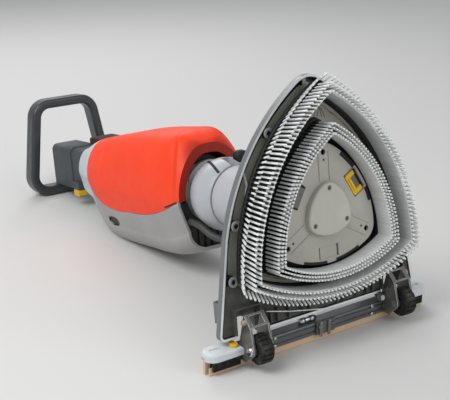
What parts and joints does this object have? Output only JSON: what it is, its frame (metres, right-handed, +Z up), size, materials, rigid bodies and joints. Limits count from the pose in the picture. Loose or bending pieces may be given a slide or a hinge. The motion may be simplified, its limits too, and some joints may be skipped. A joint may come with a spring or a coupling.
{
  "type": "floor scrubber",
  "caption": "Walk-behind floor scrubber lying on its back: nested triangular orbiting brushes, tilting deck on a swivel neck, swing-out squeegee carriage with wheels, looped handle.",
  "frame": {"origin": "middle of the outer box on the floor that the machine lies on", "axes": "+X to the machine's right seen from the brushes, +Y from the brushes to the handle, +Z up"},
  "size_m": [0.484, 1.0626, 0.4577],
  "materials": {
    "hood_red": "satin moulded red-orange",
    "shell_grey": "fine-grained grey",
    "collar_grey": "light grey",
    "trim_black": "matt black",
    "deck_dark": "dark olive grey",
    "lens_dark": "smoked gloss",
    "neck_silver": "silver-grey lacquer",
    "plate_beige": "warm grey-beige",
    "latch_yellow": "yellow",
    "key_green": "green key",
    "key_grey": "grey key",
    "bristle_grey": "pale nylon tufts",
    "steel": "bare steel",
    "bronze": "sintered bronze",
    "bar_aluminium": "anodised grey",
    "rubber_black": "black rubber",
    "rubber_tan": "tan gum rubber",
    "cell_blue": "blue casing",
    "board_green": "green board"
  },
  "bodies": {
    "body": {"rear_housing": "shell_grey", "tank_hood": "hood_red", "front_cap": "trim_black", "rear_collar": "collar_grey", "handle_stem": "trim_black", "handle_loop": "trim_black", "control_pod": "trim_black", "display_lens": "lens_dark", "neck_barrel": "neck_silver", "neck_bush": "bronze", "flange_screws": "steel", "battery_pack": "cell_blue", "suction_motor": "steel", "water_pump": "cell_blue", "control_board": "board_green", "hose_gland": "trim_black", "water_hose": "rubber_black"},
    "lid": {"tank_lid": "trim_black"},
    "clip": {"stem_clip": "latch_yellow"},
    "power_key": {"power_button": "key_green"},
    "water_key": {"water_button": "latch_yellow"},
    "suction_key": {"suction_button": "key_grey"},
    "neck": {"neck_cone": "neck_silver", "neck_ring": "steel", "hose_fitting": "trim_black", "pivot_bushes": "bronze"},
    "deck": {"deck_housing": "collar_grey", "rear_panel": "deck_dark", "splash_skirt": "rubber_black", "deck_bumpers": "deck_dark", "motor_cover": "trim_black", "drive_motor": "steel", "deck_bearing": "steel", "tilt_pin": "steel"},
    "drive": {"eccentric_shaft": "steel"},
    "inner": {"inner_carrier": "plate_beige", "inner_bearing": "steel", "inner_brush": "bristle_grey", "center_cover": "plate_beige", "cover_screws": "steel"},
    "latch": {"brush_latch": "latch_yellow"},
    "outer": {"outer_carrier": "plate_beige", "outer_bearing": "steel", "outer_brush": "bristle_grey"},
    "carriage": {"squeegee_bar": "bar_aluminium", "front_blade": "rubber_black", "rear_blade": "rubber_tan", "end_cap_left": "neck_silver", "end_cap_right": "neck_silver", "bracket_left": "bar_aluminium", "bracket_right": "bar_aluminium", "axle_bolts": "steel", "carriage_pins": "steel", "bar_clamp": "bar_aluminium"},
    "lever": {"cap_lever": "latch_yellow"},
    "wheel_left": {"hub_left": "trim_black", "tyre_left": "rubber_black"},
    "wheel_right": {"hub_right": "trim_black", "tyre_right": "rubber_black"}
  },
  "joints": [
    {"name": "neck_swivel", "type": "hinge", "parent": "body", "child": "neck", "pos_m": [0, -0.18707, 0.18012], "axis": [0, 0.9901, -0.1406], "range_deg": [-45, 45], "deforming": ["water_hose"]},
    {"name": "deck_tilt", "type": "hinge", "parent": "neck", "child": "deck", "pos_m": [0, -0.34944, 0.20317], "axis": [1, 0, 0], "range_deg": [0, 65]},
    {"name": "drive_spin", "type": "hinge", "parent": "deck", "child": "drive", "pos_m": [0, -0.4358, 0.23513], "axis": [0, 0.9901, -0.1406], "continuous": true},
    {"name": "inner_orbit", "type": "hinge", "parent": "drive", "child": "inner", "pos_m": [0, -0.45242, 0.23194], "axis": [0, 0.9901, -0.1406], "continuous": true},
    {"name": "outer_orbit", "type": "hinge", "parent": "drive", "child": "outer", "pos_m": [0, -0.44097, 0.24142], "axis": [0, 0.9901, -0.1406], "continuous": true},
    {"name": "latch_slide", "type": "slide", "parent": "inner", "child": "latch", "axis": [0.866, 0.0703, 0.495], "range_m": [0, 0.006], "stiffness_N_per_m": 400},
    {"name": "carriage_swing", "type": "hinge", "parent": "deck", "child": "carriage", "pos_m": [0, -0.4788, 0.044], "axis": [1, 0, 0], "range_deg": [-98, 0]},
    {"name": "lever_turn", "type": "hinge", "parent": "carriage", "child": "lever", "pos_m": [-0.188, -0.4763, 0.041], "axis": [0, 0, 1], "range_deg": [0, 90]},
    {"name": "wheel_left_spin", "type": "hinge", "parent": "carriage", "child": "wheel_left", "pos_m": [-0.145, -0.5063, 0.04], "axis": [1, 0, 0], "continuous": true},
    {"name": "wheel_right_spin", "type": "hinge", "parent": "carriage", "child": "wheel_right", "pos_m": [0.145, -0.5063, 0.04], "axis": [1, 0, 0], "continuous": true},
    {"name": "lid_open", "type": "hinge", "parent": "body", "child": "lid", "pos_m": [0, 0.31547, 0.15555], "axis": [1, 0, 0], "range_deg": [-70, 0]},
    {"name": "clip_open", "type": "hinge", "parent": "body", "child": "clip", "pos_m": [-0.036, 0.35141, 0.03873], "axis": [1, 0, 0], "range_deg": [-60, 0], "stiffness_Nm_per_rad": 0.03, "springref_deg": 17.19},
    {"name": "power_press", "type": "slide", "parent": "body", "child": "power_key", "axis": [0, -0.9901, 0.1406], "range_m": [0, 0.002], "stiffness_N_per_m": 400},
    {"name": "water_press", "type": "slide", "parent": "body", "child": "water_key", "axis": [0, -0.9901, 0.1406], "range_m": [0, 0.002], "stiffness_N_per_m": 400},
    {"name": "suction_press", "type": "slide", "parent": "body", "child": "suction_key", "axis": [0, -0.9901, 0.1406], "range_m": [0, 0.002], "stiffness_N_per_m": 400}
  ],
  "couplings": [
    {"joint": "inner_orbit", "follows": "drive_spin", "ratio": -1},
    {"joint": "outer_orbit", "follows": "drive_spin", "ratio": -1}
  ]
}
